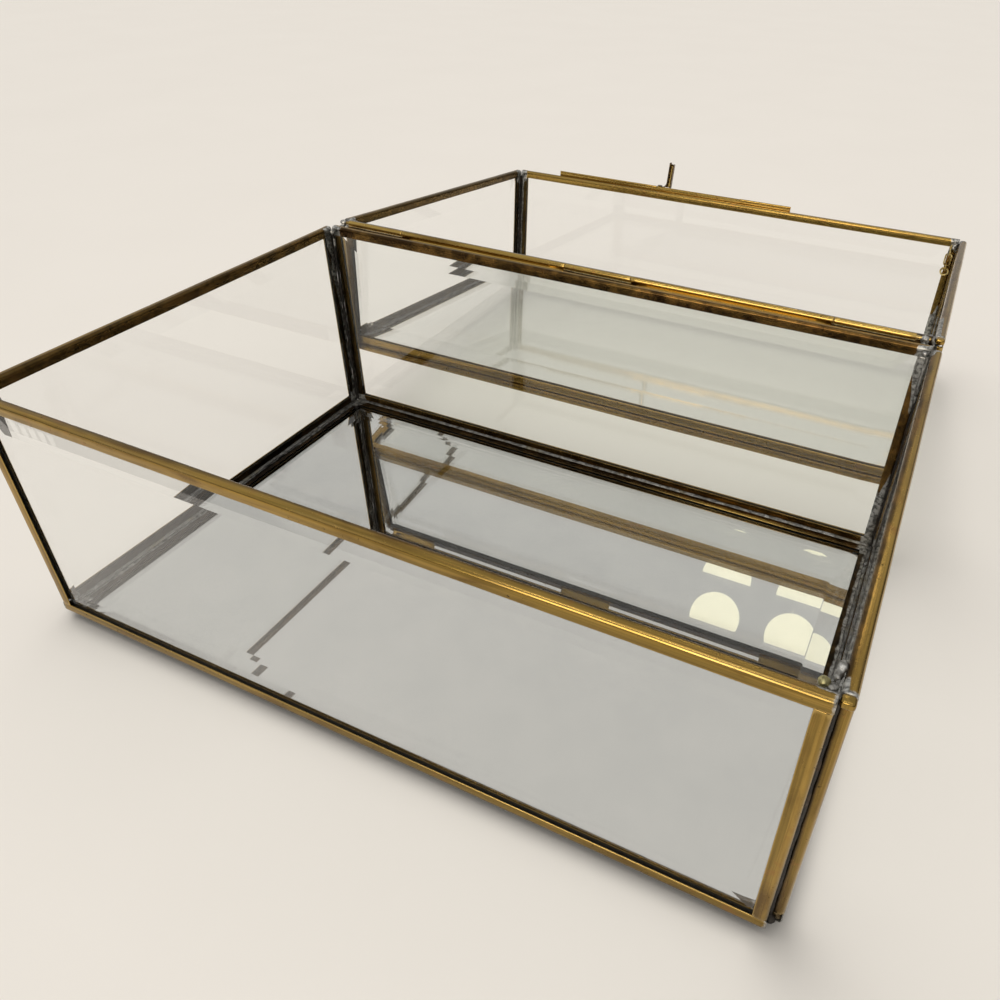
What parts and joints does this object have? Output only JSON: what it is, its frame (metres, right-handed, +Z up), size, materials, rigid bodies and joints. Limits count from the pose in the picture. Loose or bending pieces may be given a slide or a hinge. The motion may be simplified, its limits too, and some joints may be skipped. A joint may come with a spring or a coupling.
{
  "type": "glass casket box",
  "caption": "Keepsake box of beveled glass in brass came with a mirror floor; its deep glass lid, folded back on a wire hinge, carries a lift lip, a tab and the end of a broken chain.",
  "frame": {"origin": "centre of the base's underside, where the box rests", "axes": "+Z up; the hinge runs along X; the front faces -Y and the open lid lies toward +Y"},
  "size_m": [0.3, 0.4031, 0.1068],
  "materials": {
    "glass": "clear, beveled edges",
    "mirror": "beveled silvered glass",
    "brass": "aged, satin, dark patina",
    "solder": "dull tin-lead solder",
    "chain": "aged, satin",
    "felt": "felt"
  },
  "bodies": {
    "base": {"base_front_glass": "glass", "base_back_glass": "glass", "base_left_glass": "glass", "base_right_glass": "glass", "floor_mirror": "mirror", "floor_pad": "felt", "base_front_came": "brass", "base_back_came": "brass", "base_left_came": "brass", "base_right_came": "brass", "floor_came": "brass", "base_corner_solder": "solder", "floor_solder": "solder", "hinge_knuckles_base": "brass", "hinge_wire": "brass", "hinge_wire_solder": "solder"},
    "lid": {"lid_front_glass": "glass", "lid_back_glass": "glass", "lid_left_glass": "glass", "lid_right_glass": "glass", "lid_top_glass": "glass", "lid_front_came": "brass", "lid_back_came": "brass", "lid_left_came": "brass", "lid_right_came": "brass", "lid_top_came": "brass", "lid_corner_solder": "solder", "lid_top_solder": "solder", "hinge_knuckles_lid": "brass", "lift_lip": "brass", "lift_tab": "brass", "chain_solder": "solder", "chain_link_1": "chain"},
    "link_2": {"chain_link_2": "chain"},
    "link_3": {"chain_link_3": "chain"},
    "ring": {"chain_ring": "chain"}
  },
  "joints": [
    {"name": "lid_hinge", "type": "hinge", "parent": "base", "child": "lid", "pos_m": [0, 0.1016, 0.10515], "axis": [1, 0, 0], "range_deg": [0, 185.8]},
    {"name": "link_2_swing", "type": "hinge", "parent": "lid", "child": "link_2", "pos_m": [0.1424, 0.29143, 0.07714], "axis": [0, 1, 0], "range_deg": [-3, 100]},
    {"name": "link_3_swing", "type": "hinge", "parent": "link_2", "child": "link_3", "pos_m": [0.1424, 0.29143, 0.07089], "axis": [1, 0, 0], "range_deg": [-90, 6]},
    {"name": "ring_swing", "type": "hinge", "parent": "link_3", "child": "ring", "pos_m": [0.1424, 0.29143, 0.06834], "axis": [0, 1, 0], "range_deg": [-3, 55]}
  ]
}
